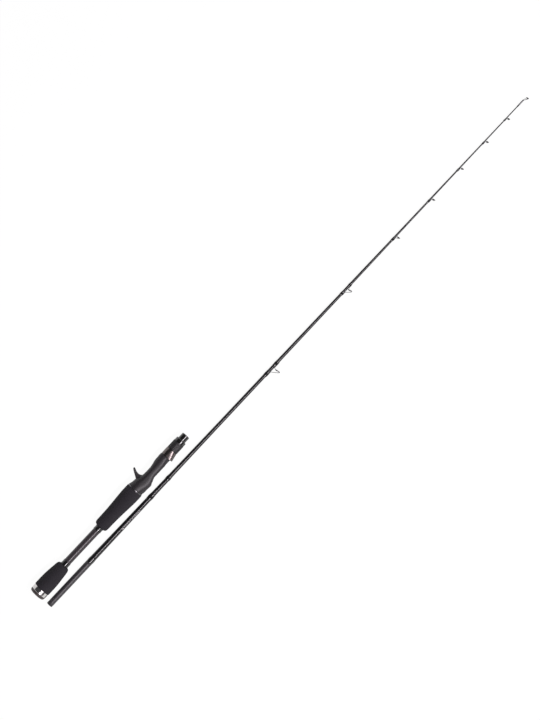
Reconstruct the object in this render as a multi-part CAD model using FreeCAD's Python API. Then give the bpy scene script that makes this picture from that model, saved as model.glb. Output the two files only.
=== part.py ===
"""Two-piece casting rod: a trigger handle and a detached one-piece blank, laid side by side.

Units are millimetres.  +X runs along the rod from butt to tip, +Y is the trigger side and
+Z is up from the table that both pieces lie on.  The origin is on the table, under the
middle of the whole layout.  Every piece is first made on its own rod axis, with x = 0 at the
butt end of its half, and is then moved to where its half lies.
"""
import FreeCAD, Part
import math
import os

from FreeCAD import Vector

# ---- layout of the two halves on the table
AXIS_SPACING = 32.0           # sideways distance between the handle's axis and the blank's
BLANK_SETBACK = 1.0           # how far the blank's butt end lies ahead of the handle's

# ---- the joint between the halves
SOCKET_RADIUS = 6.55
SOCKET_DEPTH = 118.0
TUBE_BORE_RADIUS = 6.2        # behind the socket
SPIGOT_RADIUS = 6.45
SPIGOT_LENGTH = 114.3
SPIGOT_BORE = 4.2
SHANK_LENGTH = 50.0           # part of the spigot glued inside the blank
SHANK_RADIUS, SHANK_BORE = 4.65, 3.4
BLANK_SEAT_RADIUS = 4.7       # the blank's bore around the shank
END_CAP_RIM = 2.0             # how far the end cap stands out of the spigot
END_CAP_DEPTH = 9.0
VENT_RADIUS = 2.05            # hole through the spigot's end cap
PLUG_RADIUS = 2.0
PLUG_LENGTH = 7.0

# ---- handle, measured from its butt end
CAP_LENGTH = 6.4
CAP_RADIUS, CAP_DOME = 16.7, 5.0
CAP_STEM_RADIUS, CAP_STEM_END = 6.15, 25.0
TRIM_END = 15.7
TRIM_RADIUS = 17.1
BUTT_GRIP_END = 79.0
REAR_CHECK_END = 88.9
FORE_CHECK_START = 172.2
FORE_CHECK_END = 181.5
FORE_GRIP_END = 280.9
SEAT_START = 283.1
POCKET_START, POCKET_MOUTH = 300.5, 311.0
POCKET_ROOF = 15.4
POCKET_HALF_WIDTH = 6.8
SADDLE_START, SADDLE_END = 324.5, 356.5
BODY_END = 370.5              # where the moulded seat body gives way to the bare barrel
HOOD_START, HOOD_END = 371.1, 387.5
NUT_START, NUT_END = 387.8, 407.4
BAND_END = 415.4
HANDLE_LENGTH = 427.9

TUBE_RADIUS = 7.65
CHECK_RADIUS = 8.4
CHECK_BEAD = 0.35
SLEEVE_RADIUS = 8.6
ARBOR_RADIUS = 8.8
SADDLE_HEIGHT = 11.0          # reel foot's bed, below the axis on the reel side
BARREL_RADIUS = 10.2
BARREL_END = 406.9
THREAD_PITCH = 2.0
THREAD_DEPTH = 0.5
NUT_RADIUS = 11.75
NUT_RIBS = 24
BAND_RADIUS = 11.5
NUT_GROOVE_RADIUS = 0.55
LINER_RADIUS = 10.95
FOOT_TUNNEL_HALF_WIDTH = 7.2  # way for the reel foot under the sliding hood
KEY_WIDTH = 3.0
KEYWAY_DEPTH = 0.9
RUNNING_GAP = 0.1
ARBORS = ((SEAT_START - 0.01, 300.5), (362.5, BARREL_END + 0.01))

# smooth backs of the two grips: (distance from the butt, radius)
BUTT_GRIP_BACK = (
    (16.3, 17.6), (27.5, 17.65), (38.5, 17.45), (50.5, 16.6), (62.5, 15.3), (71.5, 14.3),
    (76.0, 13.1), (78.4, 11.0))
FORE_GRIP_BACK = (
    (182.2, 11.2), (184.7, 13.6), (188.5, 14.4), (199.5, 14.6), (211.5, 14.8), (230.5, 15.7),
    (250.5, 17.0), (266.5, 17.8), (280.4, 17.6))
GRIP_REAR_EDGE, GRIP_FRONT_EDGE, GRIP_SLIM_EDGE = 17.1, 17.2, 9.3

# sections across the seat: distance from the butt, reach on the trigger side and on the reel
# side, half width, and how boxy the reel side is (2 is an oval)
SEAT_SECTIONS = (
    (SEAT_START, 16.5, 16.6, 16.5), (288.5, 15.3, 16.8, 15.9, 2.2),
    (296.5, 14.3, 17.1, 14.9, 2.6), (304.5, 12.4, 17.5, 13.6, 3.0),
    (310.5, 10.2, 17.3, 12.6, 3.0), (316.5, 8.9, 15.4, 11.7, 3.0),
    (321.5, 8.65, 13.6, 11.1, 2.8), (328.5, 8.65, 12.3, 10.7, 2.6),
    (336.5, 8.9, 12.0, 10.6, 2.6), (344.5, 10.4, 12.0, 10.9, 2.6),
    (351.5, 11.8, 12.0, 11.5, 2.5), (358.5, 12.1, 11.8, 11.9, 2.3),
    (BODY_END, 12.0, 11.2, 12.0))
HOOD_SECTIONS = (
    (HOOD_START, 12.0, 14.9, 12.3, 3.2), (376.5, 12.0, 14.0, 12.2, 3.0),
    (382.5, 12.0, 12.7, 12.0, 2.4), (HOOD_END, 11.9, 11.9, 11.9, 2.2))
# sections up the trigger: reach from the axis, middle along the rod, half length, half width
TRIGGER_SECTIONS = (
    (3.0, 307.5, 8.6, 5.6), (9.0, 305.7, 7.6, 5.4), (14.0, 304.5, 5.6, 4.7),
    (19.0, 305.7, 4.0, 4.3), (25.0, 308.3, 3.0, 4.1), (29.5, 310.8, 2.45, 3.6),
    (31.75, 311.8, 1.3, 2.2))

# ---- blank, measured from its butt end
COLLAR_RADIUS = 6.95          # thickest place of the blank, which carries it on the table
COLLAR_END = 127.0
BLANK_END = 1356.0
BLANK_TAPER = (               # (distance from the butt, outside diameter)
    (127.0, 12.6), (201.0, 11.4), (284.0, 10.5), (366.0, 8.9), (476.0, 7.8),
    (676.0, 6.9), (911.0, 5.3), (1029.0, 4.1), (1217.0, 2.8), (1356.0, 2.1))
BUTT_SEAT_RADIUS = 5.9        # blank under the collar
WALL_BUTT, WALL_TIP = 1.0, 0.5
TRIM_WRAPS = ((283.8, 298.5), (335.7, 347.5))
TRIM_WRAP_THICKNESS = 0.5

# ---- line guides: feet are (start, end) of each foot along the blank
#      ring = (position, height above the blank's axis, outside radius, hole radius, lean)
GUIDES = (
    dict(feet=((616.4, 629.7), (655.6, 642.3)), ring=(641.0, 12.2, 5.4, 3.7, 10), wire=0.65),
    dict(feet=((835.5, 843.4), (864.2, 856.7)), ring=(853.4, 8.0, 4.4, 2.95, 17), wire=0.6),
    dict(feet=((981.2, 989.4),), ring=(994.1, 6.2, 3.6, 2.35, 12), wire=0.5),
    dict(feet=((1084.3, 1092.1),), ring=(1095.6, 5.7, 3.4, 2.15, 12), wire=0.5),
    dict(feet=((1167.8, 1174.8),), ring=(1178.4, 5.1, 3.1, 1.95, 12), wire=0.45),
    dict(feet=((1239.9, 1246.9),), ring=(1250.3, 4.9, 3.0, 1.85, 14), wire=0.45),
    dict(feet=((1302.6, 1308.7),), ring=(1311.8, 4.4, 2.8, 1.7, 16), wire=0.42))
TIP_RING = (1366.6, 3.5, 2.8, 1.65, 15)
RING_WALL = 0.62              # thickness of the ceramic insert between hole and frame
FRAME_THICKNESS = 1.5         # of a guide's frame ring, along the line
INSERT_THICKNESS = 2.1
FOOT_WIDTH = 1.5
FOOT_THICKNESS = 0.5
FOOT_SHOWS = 1.2              # length of foot between the thread and the wires
WRAP_THICKNESS = 0.35
TIP_TUBE = (1345.0, 1358.5)
TIP_TUBE_RADIUS = 1.45
TIP_WIRE = 0.5
TIP_WRAP_LENGTH = 5.0

BEYOND = 25.0                 # further out than the seat reaches
X_AXIS = Vector(1, 0, 0)


# ---- small makers -------------------------------------------------------------------------
def turned(outline):
    """Solid of revolution about X of a closed outline of (x, radius) points."""
    points = [Vector(x, r, 0) for x, r in outline]
    face = Part.Face(Part.makePolygon(points + points[:1]))
    return face.revolve(Vector(0, 0, 0), X_AXIS, 360)


def rod(start, end, radius):
    return Part.makeCylinder(radius, end - start, Vector(start, 0, 0), X_AXIS)


def sleeve(start, end, outer, inner):
    """A plain tube with its two outer edges broken."""
    c = min(0.3, (outer - inner) / 3)
    return turned(((start, inner), (start, outer - c), (start + c, outer),
                   (end - c, outer), (end, outer - c), (end, inner)))


def curved_sleeve(rear_edge, stations, front_edge, inner):
    """A turned solid over a bore: its back is a smooth curve through (x, radius) stations,
    and straight bevels lead from there to the edge at each end."""
    curve = Part.BSplineCurve()
    curve.interpolate([Vector(x, r, 0) for x, r in stations])
    outline = [stations[-1], front_edge, (front_edge[0], inner), (rear_edge[0], inner),
               rear_edge, stations[0]]
    corners = [Vector(x, r, 0) for x, r in outline]
    edges = [curve.toShape()]
    edges += [Part.LineSegment(a, b).toShape() for a, b in zip(corners, corners[1:])]
    return Part.Face(Part.Wire(edges)).revolve(Vector(0, 0, 0), X_AXIS, 360)


def box(low, high):
    return Part.makeBox(*(h - l for l, h in zip(low, high)), Vector(*low))


def wire_along(points, radius):
    """A round wire from point to point, with rounded ends and corners."""
    pieces = [Part.makeSphere(radius, p) for p in points]
    for start, end in zip(points, points[1:]):
        run = end.sub(start)
        pieces.append(Part.makeCylinder(radius, run.Length, start, run))
    return pieces[0].fuse(pieces[1:])


def egg_section(x, trigger_side, reel_side, half_width, fullness=2.0):
    """A closed section across X: half an oval each way from the rod's axis.

    fullness squares the reel side's oval: 2 is an ellipse, more is boxier."""
    halves = []
    for depth, way, full in ((trigger_side, 1, 2.0), (reel_side, -1, fullness)):
        points = []
        for a in (math.radians(d) for d in range(0, 181, 15)):
            up, across = max(math.sin(a), 0.0), math.cos(a)
            across = math.copysign(abs(across) ** (2 / full), across)
            points.append(Vector(x, way * depth * up ** (2 / full), way * half_width * across))
        curve = Part.BSplineCurve()
        curve.interpolate(points)
        halves.append(curve.toShape())
    return Part.Wire(halves)


def round_section(y, centre_x, half_x, half_z):
    """A closed elliptical section across Y, through eight points."""
    curve = Part.BSplineCurve()
    turns = [math.radians(a) for a in range(0, 360, 45)]
    curve.interpolate([Vector(centre_x + half_x * math.cos(a), y, half_z * math.sin(a))
                       for a in turns], PeriodicFlag=True)
    return Part.Wire(curve.toShape())


# ---- handle -------------------------------------------------------------------------------
def handle_tube():
    """Carbon tube through the whole handle, bored out at the front as the spigot's socket."""
    step = HANDLE_LENGTH - SOCKET_DEPTH
    return turned(((CAP_LENGTH, TUBE_BORE_RADIUS), (CAP_LENGTH, TUBE_RADIUS),
                   (HANDLE_LENGTH - 0.3, TUBE_RADIUS), (HANDLE_LENGTH, TUBE_RADIUS - 0.3),
                   (HANDLE_LENGTH, SOCKET_RADIUS), (step, SOCKET_RADIUS),
                   (step, TUBE_BORE_RADIUS)))


def butt_cap():
    """Domed rubber cap, with a stem that plugs the tube."""
    stations = [(CAP_DOME * (1 - math.cos(a)), CAP_RADIUS - CAP_DOME * 0.9 * (1 - math.sin(a)))
                for a in (math.radians(d) for d in range(0, 91, 15))]
    curve = Part.BSplineCurve()
    curve.interpolate([Vector(x, r, 0) for x, r in stations])
    outline = [(CAP_DOME, CAP_RADIUS), (CAP_LENGTH, CAP_RADIUS), (CAP_LENGTH, CAP_STEM_RADIUS),
               (CAP_STEM_END - 1, CAP_STEM_RADIUS), (CAP_STEM_END, CAP_STEM_RADIUS - 0.7),
               (CAP_STEM_END, 0), (0, 0), stations[0]]
    corners = [Vector(x, r, 0) for x, r in outline]
    edges = [curve.toShape()]
    edges += [Part.LineSegment(a, b).toShape() for a, b in zip(corners, corners[1:])]
    return Part.Face(Part.Wire(edges)).revolve(Vector(0, 0, 0), X_AXIS, 360)


def butt_trim_ring():
    """Polished ring, very slightly barrelled, with its front and rear edges broken."""
    r, a, b = TRIM_RADIUS, CAP_LENGTH, TRIM_END
    return turned(((a, TUBE_RADIUS), (a, r - 0.6), (a + 0.7, r - 0.1), (a + 3.5, r),
                   (b - 3.5, r), (b - 0.7, r - 0.1), (b, r - 0.5), (b, TUBE_RADIUS)))


def butt_grip():
    """Foam grip: full at the butt, then tapering to a rounded shoulder."""
    return curved_sleeve((TRIM_END, GRIP_REAR_EDGE), BUTT_GRIP_BACK,
                         (BUTT_GRIP_END, GRIP_SLIM_EDGE), TUBE_RADIUS)


def fore_grip():
    """Foam grip: slim behind, swelling towards the reel seat."""
    return curved_sleeve((FORE_CHECK_END, GRIP_SLIM_EDGE), FORE_GRIP_BACK,
                         (FORE_GRIP_END, GRIP_FRONT_EDGE), TUBE_RADIUS)


def winding_check(start, end):
    """Gloss ring with a raised bead at each end."""
    r, bead = CHECK_RADIUS, CHECK_BEAD
    return turned(((start, TUBE_RADIUS), (start, r), (start + 0.5, r + bead),
                   (start + 1.5, r + bead), (start + 2.0, r), (end - 2.0, r),
                   (end - 1.5, r + bead), (end - 0.5, r + bead), (end, r), (end, TUBE_RADIUS)))


def trigger():
    """The finger hook: slim, leaning towards the tip, blended into the seat at its root."""
    return Part.makeLoft([round_section(*s) for s in TRIGGER_SECTIONS], True, False)


def thread_grooves():
    """The rings cut into the barrel, under the nut, one pitch apart."""
    grooves, x = [], NUT_START + 1.0
    while x < BARREL_END - THREAD_PITCH:
        top, root = BARREL_RADIUS + 0.2, BARREL_RADIUS - THREAD_DEPTH
        grooves.append(turned(((x, top), (x + 0.6, root), (x + 1.0, root), (x + 1.6, top))))
        x += THREAD_PITCH
    return grooves


def reel_seat_body():
    """Moulded seat: rear bulb with the fixed hood, saddle, palm swell, and keyed barrel."""
    body = Part.makeLoft([egg_section(*s) for s in SEAT_SECTIONS], True, False)
    barrel = rod(BODY_END - 8, BARREL_END, BARREL_RADIUS)
    body = body.fuse([trigger(), barrel]).removeSplitter()

    land = box((SADDLE_START, -BEYOND, -BEYOND), (SADDLE_END, -SADDLE_HEIGHT, BEYOND))
    front_land = box((SADDLE_END, -BEYOND, -BEYOND), (HOOD_START, -SADDLE_HEIGHT + 0.5, BEYOND))
    # the fixed hood's pocket takes the back of a reel foot; ahead of its roof only cheeks stand
    pocket = box((POCKET_START, -POCKET_ROOF, -POCKET_HALF_WIDTH),
                 (POCKET_MOUTH, -SADDLE_HEIGHT, POCKET_HALF_WIDTH))
    mouth = box((POCKET_MOUTH, -BEYOND, -POCKET_HALF_WIDTH),
                (SADDLE_START, -SADDLE_HEIGHT, POCKET_HALF_WIDTH))
    keyway = box((BODY_END, BARREL_RADIUS - KEYWAY_DEPTH, -KEY_WIDTH / 2),
                 (BARREL_END + 1, BARREL_RADIUS + 1, KEY_WIDTH / 2))
    bore = rod(SEAT_START - 1, BARREL_END + 1, TUBE_RADIUS)
    seats = [rod(a, b, ARBOR_RADIUS) for a, b in ARBORS]
    cuts = [land, front_land, pocket, mouth, keyway, bore]
    return body.cut(cuts + seats + thread_grooves())


def hood_shell():
    """Sliding hood: a metal ring whose lip flares open on the reel side."""
    outer = Part.makeLoft([egg_section(*s) for s in HOOD_SECTIONS], True, False)
    inner = rod(HOOD_START - 1, HOOD_END + 1, LINER_RADIUS)
    wide, top = FOOT_TUNNEL_HALF_WIDTH, -8.0
    tunnel = Part.makeLoft([Part.makePolygon(
        [Vector(x, top, -wide), Vector(x, top, wide), Vector(x, -low, wide),
         Vector(x, -low, -wide), Vector(x, top, -wide)])
        for x, low in ((HOOD_START - 0.5, 12.9), (HOOD_END - 5.0, 10.9))], True, True)
    return outer.cut([inner, tunnel])


def hood_liner():
    """Plastic liner with the key that stops the hood turning on the barrel."""
    bore = BARREL_RADIUS + RUNNING_GAP
    ring = sleeve(HOOD_START + 0.4, HOOD_END, LINER_RADIUS, bore)
    key = box((HOOD_START + 0.4, BARREL_RADIUS - KEYWAY_DEPTH + RUNNING_GAP,
               -KEY_WIDTH / 2 + RUNNING_GAP),
              (HOOD_END, bore + 0.3, KEY_WIDTH / 2 - RUNNING_GAP))
    tunnel = box((HOOD_START - 1, -BEYOND, -FOOT_TUNNEL_HALF_WIDTH),
                 (HOOD_END - 5.0, -9.0, FOOT_TUNNEL_HALF_WIDTH))
    return ring.fuse(key).cut(tunnel)


def lock_nut():
    """Ribbed nut.  The thread is drawn as a smooth running bore over the barrel."""
    body = turned(((NUT_START, BARREL_RADIUS + RUNNING_GAP), (NUT_START, NUT_RADIUS - 0.5),
                   (NUT_START + 0.6, NUT_RADIUS), (NUT_END - 0.3, NUT_RADIUS),
                   (NUT_END, NUT_RADIUS - 0.3), (NUT_END, BARREL_RADIUS + RUNNING_GAP)))
    groove = Part.makeCylinder(NUT_GROOVE_RADIUS, NUT_END - NUT_START - 3.6,
                               Vector(NUT_START + 1.8, NUT_RADIUS + 0.2, 0), X_AXIS)
    grooves = []
    for i in range(NUT_RIBS):
        cut = groove.copy()
        cut.rotate(Vector(0, 0, 0), X_AXIS, i * 360 / NUT_RIBS)
        grooves.append(cut)
    return body.cut(grooves)


def nut_band():
    """Gloss band on the nut's front end, with a rounded front edge."""
    inner, r = SLEEVE_RADIUS + 0.2, BAND_RADIUS
    return turned(((NUT_END, inner), (NUT_END, r), (NUT_END + 6.0, r), (BAND_END - 0.8, r - 0.4),
                   (BAND_END, r - 1.3), (BAND_END, inner)))


def make_handle():
    rear_arbor, front_arbor = (sleeve(a + 0.01, b - 0.01, ARBOR_RADIUS, TUBE_RADIUS)
                               for a, b in ARBORS)
    return {
        "butt_cap": butt_cap(), "butt_trim_ring": butt_trim_ring(), "butt_grip": butt_grip(),
        "rear_winding_check": winding_check(BUTT_GRIP_END, REAR_CHECK_END),
        "handle_tube": handle_tube(),
        "fore_winding_check": winding_check(FORE_CHECK_START, FORE_CHECK_END),
        "fore_grip": fore_grip(),
        "seat_trim_ring": sleeve(FORE_GRIP_END, SEAT_START, 17.1, TUBE_RADIUS),
        "rear_arbor": rear_arbor, "front_arbor": front_arbor,
        "reel_seat_body": reel_seat_body(),
        "ferrule_sleeve": sleeve(BARREL_END + 0.1, HANDLE_LENGTH - 0.5, SLEEVE_RADIUS, TUBE_RADIUS),
        "hood_shell": hood_shell(), "hood_liner": hood_liner(),
        "lock_nut": lock_nut(), "nut_band": nut_band()}


# ---- blank --------------------------------------------------------------------------------
def blank_radius(x):
    """Outside radius of the blank at a distance from its butt."""
    for (x0, d0), (x1, d1) in zip(BLANK_TAPER, BLANK_TAPER[1:]):
        if x <= x1:
            return (d0 + (d1 - d0) * (x - x0) / (x1 - x0)) / 2
    return BLANK_TAPER[-1][1] / 2


def blank_solid():
    """The blank's outer form, with no bore."""
    skin = [(SPIGOT_LENGTH, 0), (SPIGOT_LENGTH, BUTT_SEAT_RADIUS), (COLLAR_END, BUTT_SEAT_RADIUS)]
    skin += [(x, d / 2) for x, d in BLANK_TAPER] + [(BLANK_END, 0)]
    return turned(skin)


def blank_bore():
    """The hollow inside: a straight seat for the spigot's shank, then the blank's own taper."""
    shank_end = SPIGOT_LENGTH + SHANK_LENGTH
    seat = BLANK_SEAT_RADIUS
    skin = [(SPIGOT_LENGTH, 0), (SPIGOT_LENGTH, seat), (shank_end + 1, seat)]
    for x, diameter in BLANK_TAPER:
        if x > shank_end + 2:
            wall = WALL_BUTT + (WALL_TIP - WALL_BUTT) * x / BLANK_END
            skin.append((x, min(seat, diameter / 2 - wall)))
    return turned(skin + [(BLANK_END, 0)])


def spigot():
    """Hollow carbon plug: the bare part that enters the handle, and a shank in the blank."""
    shank_end = SPIGOT_LENGTH + SHANK_LENGTH
    return turned(((END_CAP_RIM, SPIGOT_BORE), (END_CAP_RIM, SPIGOT_RADIUS),
                   (SPIGOT_LENGTH, SPIGOT_RADIUS), (SPIGOT_LENGTH, SHANK_RADIUS),
                   (shank_end, SHANK_RADIUS), (shank_end, SHANK_BORE),
                   (SPIGOT_LENGTH - 4, SHANK_BORE), (SPIGOT_LENGTH - 8, SPIGOT_BORE)))


def spigot_end_cap():
    """Rounded end ring that closes the spigot, with the vent hole through it."""
    rim, plug = SPIGOT_RADIUS - 0.1, SPIGOT_BORE - 0.05
    return turned(((0, VENT_RADIUS), (0, rim - 0.45), (0.5, rim), (END_CAP_RIM, rim),
                   (END_CAP_RIM, plug), (END_CAP_DEPTH, plug), (END_CAP_DEPTH, VENT_RADIUS)))


def spigot_collar():
    """Gloss ring that swells over the blank's butt and stops against the handle."""
    return turned(((SPIGOT_LENGTH, BUTT_SEAT_RADIUS), (SPIGOT_LENGTH, 6.45), (117.0, 6.75),
                   (119.0, COLLAR_RADIUS), (121.5, COLLAR_RADIUS), (124.5, 6.7),
                   (COLLAR_END, 6.42), (COLLAR_END, BUTT_SEAT_RADIUS)))


def trim_wrap(start, end, core):
    """Band of thread under epoxy, with its two ends run down to the blank."""
    r = blank_radius(start) + TRIM_WRAP_THICKNESS
    return turned(((start, 0), (start, r - 0.3), (start + 0.8, r), (end - 0.8, r),
                   (end, r - 0.4), (end, 0))).cut(core)


def guide_foot(toe, heel, grow=0.0):
    """Tapered foot lying on the blank; it thins towards the toe and shows past the thread.

    grow swells it a little, to cut its channel in the thread."""
    way = 1 if heel > toe else -1
    top = -blank_radius(min(toe, heel)) + (0.5 if grow else -0.02)
    low = -blank_radius(min(toe, heel)) - 0.02 - FOOT_THICKNESS - grow
    end = heel + way * FOOT_SHOWS
    outline = [Vector(toe, top, 0), Vector(end, top, 0), Vector(end, low, 0),
               Vector(toe + way * 3.0, low, 0), Vector(toe, low + 0.35, 0)]
    face = Part.Face(Part.makePolygon(outline + outline[:1]))
    width = FOOT_WIDTH + 2 * grow
    foot = face.extrude(Vector(0, 0, width))
    foot.translate(Vector(0, 0, -width / 2))
    return foot


def on_ring(ring, turn, back=0.0):
    """Point on the rim of a leaning ring, or straight behind it along the ring's axis.

    turn is in degrees about the ring's axis, from the point furthest from the blank."""
    x, height, radius, _, lean = ring
    a, t = math.radians(lean), math.radians(turn)
    out = radius * math.cos(t)
    return Vector(x + out * math.sin(a) - back * math.cos(a),
                  -height - out * math.cos(a) - back * math.sin(a), radius * math.sin(t))


def ring_disc(ring, radius, thickness):
    x, height, _, _, lean = ring
    axis = Vector(math.cos(math.radians(lean)), math.sin(math.radians(lean)), 0)
    centre = Vector(x, -height, 0)
    return Part.makeCylinder(radius, thickness, centre - axis * (thickness / 2), axis)


def guide_frame(guide):
    """Pressed frame: a ring, its feet, and a pair of wires from each foot to the ring.

    The wires from the rear foot stop behind the ring and turn in to its rim, clear of the
    insert; those from a front foot run straight to the rim."""
    ring, wire = guide["ring"], guide["wire"]
    solid = ring_disc(ring, ring[2], FRAME_THICKNESS)
    pieces = []
    for i, (toe, heel) in enumerate(guide["feet"]):
        pieces.append(guide_foot(toe, heel))
        y = -(blank_radius(min(toe, heel)) + 0.1 + wire)
        reach = 150 if i else (42 if len(guide["feet"]) == 2 else 78)
        root_x = heel + (0.75 if heel > toe else -0.75)
        for side in (1, -1):
            path = [Vector(root_x, y, side * 0.2), on_ring(ring, side * reach)]
            if not i:
                path.insert(1, on_ring(ring, side * reach, INSERT_THICKNESS / 2 + wire + 0.1))
            pieces.append(wire_along(path, wire))
    solid = solid.fuse(pieces)
    return solid.cut(ring_disc(ring, ring[3] + RING_WALL, INSERT_THICKNESS)).removeSplitter()


def guide_ring(ring):
    """Ceramic insert: a short cylindrical bore with its edges broken on each face."""
    x, height, _, hole, lean = ring
    t, seat = INSERT_THICKNESS / 2, hole + RING_WALL
    insert = turned(((-t, hole + 0.25), (-t, seat - 0.2), (-t + 0.2, seat), (t - 0.2, seat),
                     (t, seat - 0.2), (t, hole + 0.25), (t - 0.25, hole), (-t + 0.25, hole)))
    insert.rotate(Vector(0, 0, 0), Vector(0, 0, 1), lean)
    insert.translate(Vector(x, -height, 0))
    return insert


def guide_wrap(guide, core):
    """Thread and epoxy over each foot: a sleeve set towards the foot, tapered at both ends."""
    wraps = []
    for toe, heel in guide["feet"]:
        low, high = (toe - 2.0, heel) if heel > toe else (heel, toe + 2.0)
        r, lift = blank_radius(low) + WRAP_THICKNESS + 0.3, 0.32
        wrap = turned(((low, 0), (low, r - 0.45), (low + 1.4, r), (high - 1.2, r),
                       (high, r - 0.35), (high, 0)))
        wrap.translate(Vector(0, -lift, 0))
        wraps.append(wrap.cut(core).cut(guide_foot(toe, heel, 0.02)))
    return Part.makeCompound([s for w in wraps for s in w.Solids])


def tip_top(core):
    """Tip tube closed round the blank's end, with three wires out to the tip ring."""
    ring, (start, end) = TIP_RING, TIP_TUBE
    tube = turned(((start, 0), (start, TIP_TUBE_RADIUS - 0.2), (start + 0.4, TIP_TUBE_RADIUS),
                   (end - 0.5, TIP_TUBE_RADIUS), (end, TIP_TUBE_RADIUS - 0.5), (end, 0)))
    wires = []
    for turn, root_y, root_z in ((75, -0.6, 0.75), (-75, -0.6, -0.75), (180, 0.5, 0)):
        path = [Vector(end - 1.0, root_y, root_z),
                on_ring(ring, turn, INSERT_THICKNESS / 2 + TIP_WIRE + 0.1), on_ring(ring, turn)]
        wires.append(wire_along(path, TIP_WIRE))
    solid = ring_disc(ring, ring[2], FRAME_THICKNESS).fuse([tube] + wires)
    seat = ring_disc(ring, ring[3] + RING_WALL, INSERT_THICKNESS)
    return solid.cut([seat, core]).removeSplitter()


def tip_wrap(core):
    """Thread and epoxy behind the tip tube."""
    end, r = TIP_TUBE[0], TIP_TUBE_RADIUS - 0.1
    start = end - TIP_WRAP_LENGTH
    return turned(((start, 0), (start, r - 0.2), (start + 1, r), (end, r), (end, 0))).cut(core)


def make_blank():
    core = blank_solid()
    parts = {
        "blank_tube": core.cut(blank_bore()), "ferrule_spigot": spigot(),
        "spigot_end_cap": spigot_end_cap(), "spigot_collar": spigot_collar(),
        "vent_plug": rod(1.0, 1.0 + PLUG_LENGTH, PLUG_RADIUS)}
    for i, (start, end) in enumerate(TRIM_WRAPS, 1):
        parts[f"trim_wrap_{i}"] = trim_wrap(start, end, core)
    for i, guide in enumerate(GUIDES, 1):
        parts[f"guide_frame_{i}"] = guide_frame(guide)
        parts[f"guide_ring_{i}"] = guide_ring(guide["ring"])
        parts[f"guide_wrap_{i}"] = guide_wrap(guide, core)
    parts["tip_top_frame"] = tip_top(core)
    parts["tip_top_ring"] = guide_ring(TIP_RING)
    parts["tip_wrap"] = tip_wrap(core)
    return parts


# ---- laying the two halves out --------------------------------------------------------------
def move_all(parts, place):
    for shape in parts.values():
        shape.translate(place)


def span_of(parts):
    return Part.makeCompound(list(parts.values())).optimalBoundingBox(False)


def lay_out():
    """Set each half down on its thickest place, side by side, and put the origin under the
    middle of the layout.  Also gives where the two halves' butt ends come, on their axes."""
    handle, blank = make_handle(), make_blank()
    handle_at = Vector(0, 0, -span_of(handle).ZMin)
    blank_at = Vector(BLANK_SETBACK, -AXIS_SPACING, -span_of(blank).ZMin)
    move_all(handle, handle_at)
    move_all(blank, blank_at)
    placed = {**handle, **blank}
    middle = span_of(placed).Center
    shift = Vector(-middle.x, -middle.y, 0)
    move_all(placed, shift)
    return placed, handle_at + shift, blank_at + shift


placed, handle_butt, blank_butt = lay_out()
os.makedirs("parts", exist_ok=True)
for name, shape in placed.items():
    shape.exportStep(f"parts/{name}.step")
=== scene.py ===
import math

import bmesh
import bpy
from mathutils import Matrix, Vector, noise


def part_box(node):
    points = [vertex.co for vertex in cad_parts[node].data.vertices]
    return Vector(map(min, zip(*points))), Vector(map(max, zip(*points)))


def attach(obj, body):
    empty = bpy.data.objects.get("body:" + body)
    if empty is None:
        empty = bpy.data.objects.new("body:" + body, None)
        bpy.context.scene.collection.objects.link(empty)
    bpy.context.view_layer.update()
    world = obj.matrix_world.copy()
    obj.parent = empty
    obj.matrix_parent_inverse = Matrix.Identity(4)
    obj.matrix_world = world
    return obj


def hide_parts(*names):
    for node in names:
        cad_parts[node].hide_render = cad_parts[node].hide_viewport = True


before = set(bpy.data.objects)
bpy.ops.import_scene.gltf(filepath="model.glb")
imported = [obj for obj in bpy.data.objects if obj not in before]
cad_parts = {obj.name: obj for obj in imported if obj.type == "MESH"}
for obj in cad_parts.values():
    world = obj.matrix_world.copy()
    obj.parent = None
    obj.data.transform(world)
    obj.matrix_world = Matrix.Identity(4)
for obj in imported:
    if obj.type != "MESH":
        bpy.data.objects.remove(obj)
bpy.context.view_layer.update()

MM = 0.001


# ---- where things are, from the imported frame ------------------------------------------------
def axis_of(node):
    """The middle of a turned node's box, across X: the (y, z) of its axis."""
    low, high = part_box(node)
    return (low.y + high.y) / 2, (low.z + high.z) / 2


HANDLE_AXIS = axis_of("handle_tube")
BLANK_AXIS = axis_of("ferrule_spigot")
HANDLE_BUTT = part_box("butt_cap")[0].x
BLANK_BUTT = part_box("spigot_end_cap")[0].x


def span_of(node, butt):
    """Where a node starts and ends along X, in mm from the butt of its half of the rod."""
    low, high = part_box(node)
    return (low.x - butt) / MM, (high.x - butt) / MM


# The handle: spans in mm from its butt, and radii in mm.
BUTT_TRIM = span_of("butt_trim_ring", HANDLE_BUTT)
REAR_CHECK = span_of("rear_winding_check", HANDLE_BUTT)
FORE_CHECK = span_of("fore_winding_check", HANDLE_BUTT)
SEAT_TRIM = span_of("seat_trim_ring", HANDLE_BUTT)
NUT = span_of("lock_nut", HANDLE_BUTT)
NUT_BAND = span_of("nut_band", HANDLE_BUTT)
SLEEVE = span_of("ferrule_sleeve", HANDLE_BUTT)
HANDLE_END = span_of("handle_tube", HANDLE_BUTT)[1]
SOCKET_DEPTH = 118.0
TUBE_RADIUS, SOCKET_RADIUS, CORE_RADIUS = 7.65, 6.55, 6.2
TRIM_RADIUS = 17.1
CHECK_RADIUS = 8.75
SLEEVE_RADIUS, BAND_BORE = 8.6, 8.8
NUT_RADIUS, NUT_BORE, NUT_RIBS, RIB_DEPTH = 11.75, 10.3, 24, 0.3

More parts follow.
